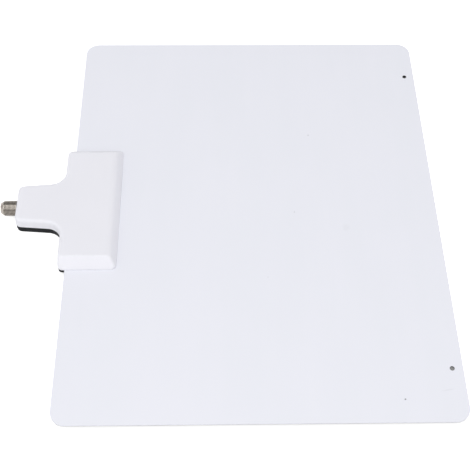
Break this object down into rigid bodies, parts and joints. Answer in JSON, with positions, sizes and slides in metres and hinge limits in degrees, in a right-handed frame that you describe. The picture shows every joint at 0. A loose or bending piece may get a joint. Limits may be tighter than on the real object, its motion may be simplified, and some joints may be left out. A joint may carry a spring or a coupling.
{
  "type": "flat indoor tv antenna",
  "caption": "Thin rectangular laminated sheet antenna, white over black, with hanging holes and a T-shaped edge housing that carries a threaded coaxial jack.",
  "frame": {"origin": "middle of the whole outline, jack included, at the height of the lower shell's flat underside", "axes": "+X away from the jack across the sheet, +Y along the sheet's long side, +Z out of the white face"},
  "size_m": [0.2714, 0.2922, 0.012],
  "materials": {
    "white_film": "satin white plastic film",
    "black_film": "satin black plastic film",
    "foil": "plain rolled foil",
    "white_shell": "fine moulded white plastic",
    "black_shell": "fine moulded black plastic",
    "board": "green solder mask on glass epoxy",
    "nickel": "nickel plated, turned",
    "contact_metal": "bright",
    "insulator": "natural moulded plastic",
    "ferrite": "dark grey, matt",
    "enamelled_wire": "enamelled copper",
    "chip": "plain"
  },
  "bodies": {
    "root": {"front_film": "white_film", "rear_film": "black_film", "foil_element_front": "foil", "foil_element_rear": "foil", "upper_shell": "white_shell", "lower_shell": "black_shell", "circuit_board": "board", "feed_rivets": "contact_metal", "jack_barrel": "nickel", "jack_insulator": "insulator", "jack_contact": "contact_metal", "balun_core": "ferrite", "balun_line_winding": "enamelled_wire", "balun_feed_winding": "enamelled_wire", "chip_capacitors": "chip"}
  },
  "joints": []
}
